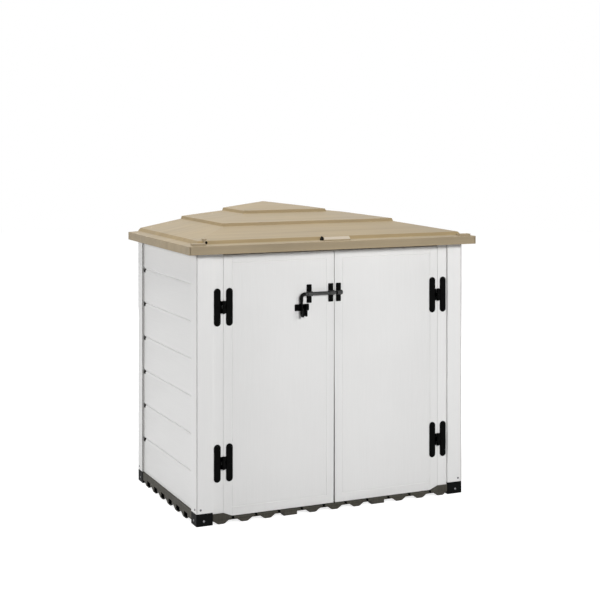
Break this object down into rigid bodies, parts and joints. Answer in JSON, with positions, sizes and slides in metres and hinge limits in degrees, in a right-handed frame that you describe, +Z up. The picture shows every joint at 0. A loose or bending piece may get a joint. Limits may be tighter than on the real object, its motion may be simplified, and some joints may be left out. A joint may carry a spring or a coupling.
{
  "type": "garden storage box",
  "caption": "Resin garden storage box with stacked board walls, a moulded floor, a stepped overhanging roof and hinged double doors closed by a sliding padlock bolt.",
  "frame": {"origin": "on the ground, under the middle of the whole outline, which is that of the roof's rim", "axes": "+Z up, the doors face -Y, +X to the right as seen from the front"},
  "size_m": [1.234, 0.778, 1.17],
  "materials": {
    "wall_resin": "satin white resin",
    "roof_resin": "satin tan resin",
    "floor_resin": "matte dark grey-brown resin",
    "foot_resin": "satin black resin",
    "black_metal": "satin black powder coat",
    "grey_screw": "dull grey",
    "steel_screw": "bright"
  },
  "bodies": {
    "root": {"floor_panel": "floor_resin", "foot_cap_front_left": "foot_resin", "foot_cap_front_right": "foot_resin", "foot_cap_back_left": "foot_resin", "foot_cap_back_right": "foot_resin", "post_front_left": "wall_resin", "post_front_right": "wall_resin", "post_back_left": "wall_resin", "post_back_right": "wall_resin", "left_board_1": "wall_resin", "left_board_2": "wall_resin", "left_board_3": "wall_resin", "left_board_4": "wall_resin", "left_board_5": "wall_resin", "left_board_6": "wall_resin", "left_board_7": "wall_resin", "right_board_1": "wall_resin", "right_board_2": "wall_resin", "right_board_3": "wall_resin", "right_board_4": "wall_resin", "right_board_5": "wall_resin", "right_board_6": "wall_resin", "right_board_7": "wall_resin", "back_board_1": "wall_resin", "back_board_2": "wall_resin", "back_board_3": "wall_resin", "back_board_4": "wall_resin", "back_board_5": "wall_resin", "back_board_6": "wall_resin", "back_board_7": "wall_resin", "left_jamb": "wall_resin", "right_jamb": "wall_resin", "lintel": "wall_resin", "roof": "roof_resin", "jamb_leaf_upper_left": "black_metal", "jamb_leaf_lower_left": "black_metal", "jamb_leaf_upper_right": "black_metal", "jamb_leaf_lower_right": "black_metal", "hinge_pins": "black_metal", "jamb_screws": "black_metal", "post_screws": "grey_screw", "foot_screws": "steel_screw"},
    "left_door": {"left_door_panel": "wall_resin", "door_leaf_upper_left": "black_metal", "door_leaf_lower_left": "black_metal", "left_door_screws": "black_metal", "outer_strap": "black_metal", "inner_strap": "black_metal", "padlock_plate": "black_metal"},
    "right_door": {"right_door_panel": "wall_resin", "door_leaf_upper_right": "black_metal", "door_leaf_lower_right": "black_metal", "right_door_screws": "black_metal", "keeper": "black_metal"},
    "bolt": {"bolt_rod": "black_metal"},
    "bolt_handle": {"bolt_tail": "black_metal"}
  },
  "joints": [
    {"name": "left_door_hinge", "type": "hinge", "parent": "root", "child": "left_door", "pos_m": [-0.465, -0.3465, 0.52], "axis": [0, 0, -1], "range_deg": [0, 170]},
    {"name": "right_door_hinge", "type": "hinge", "parent": "root", "child": "right_door", "pos_m": [0.465, -0.3465, 0.52], "axis": [0, 0, 1], "range_deg": [0, 170]},
    {"name": "bolt_slide", "type": "slide", "parent": "left_door", "child": "bolt", "axis": [1, 0, 0], "range_m": [0, 0.01]},
    {"name": "bolt_turn", "type": "hinge", "parent": "bolt", "child": "bolt_handle", "pos_m": [-0.13, -0.349, 0.8495], "axis": [-1, 0, 0], "range_deg": [0, 160]}
  ]
}
